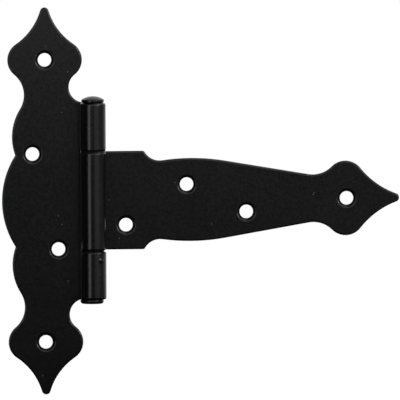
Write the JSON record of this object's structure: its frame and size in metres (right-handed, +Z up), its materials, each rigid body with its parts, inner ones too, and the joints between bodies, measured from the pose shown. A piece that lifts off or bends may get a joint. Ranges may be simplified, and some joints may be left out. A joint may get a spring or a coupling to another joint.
{
  "type": "decorative strap hinge",
  "caption": "Black painted ornamental tee hinge: a scalloped frame leaf with pointed finials and a long tapering strap turn on a headed pin, with countersunk screw holes.",
  "frame": {"origin": "on the mounting plane at the backs of the leaves, straight behind the pin at mid height", "axes": "+Z up along the pin, +X along the strap, +Y into the door or post behind the leaves"},
  "size_m": [0.155, 0.0101, 0.151],
  "materials": {
    "coat": "fine satin black coat over steel"
  },
  "bodies": {
    "frame": {"frame_leaf": "coat", "pin": "coat"},
    "strap": {"strap_leaf": "coat"}
  },
  "joints": [
    {"name": "strap_swing", "type": "hinge", "parent": "frame", "child": "strap", "pos_m": [0, -0.00505, 0], "axis": [0, 0, -1], "range_deg": [-70, 180]}
  ]
}
